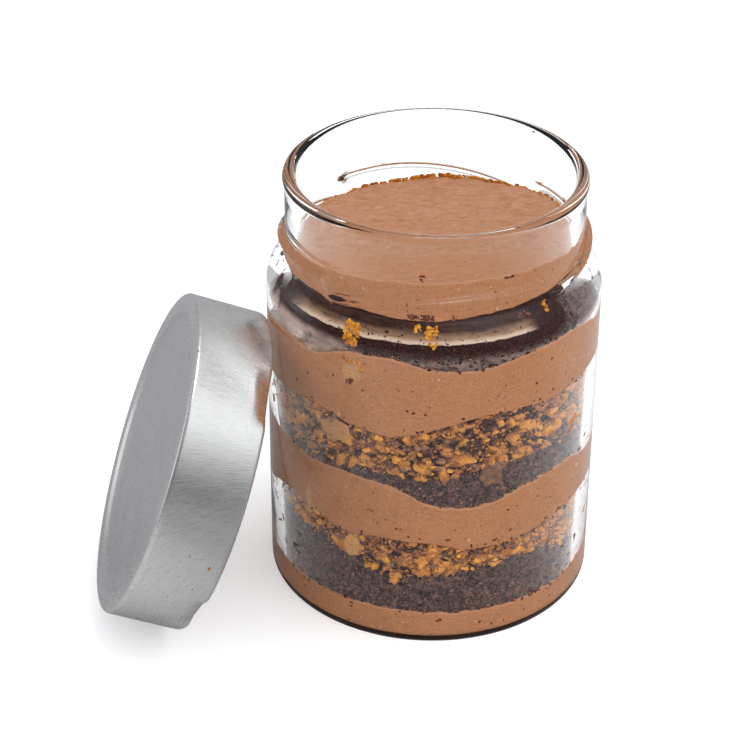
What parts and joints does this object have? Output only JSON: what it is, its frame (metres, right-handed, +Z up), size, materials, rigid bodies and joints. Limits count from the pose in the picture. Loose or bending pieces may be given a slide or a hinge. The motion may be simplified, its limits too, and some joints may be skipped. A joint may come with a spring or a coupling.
{
  "type": "cake in a jar",
  "caption": "Layered chocolate cake, mousse and biscuit crunch in an open glass jar, with its tinplate twist cap leaning on the jar.",
  "frame": {"origin": "On the jar's axis, on the flat underside of its glass.", "axes": "+Z up along the jar's axis. -Y faces the viewer of the picture. The cap leans on the jar's -X side."},
  "size_m": [0.1126, 0.0936, 0.0992],
  "materials": {
    "glass": "clear",
    "mousse": "satin",
    "cake": "matte",
    "crunch": "matte",
    "tinplate": "brushed"
  },
  "bodies": {
    "root": {"jar_glass": "glass", "mousse_top": "mousse", "cake_top": "cake", "mousse_upper": "mousse", "crunch_upper": "crunch", "cake_middle": "cake", "mousse_lower": "mousse", "crunch_lower": "crunch", "cake_bottom": "cake", "mousse_base": "mousse", "cap": "tinplate"}
  },
  "joints": []
}
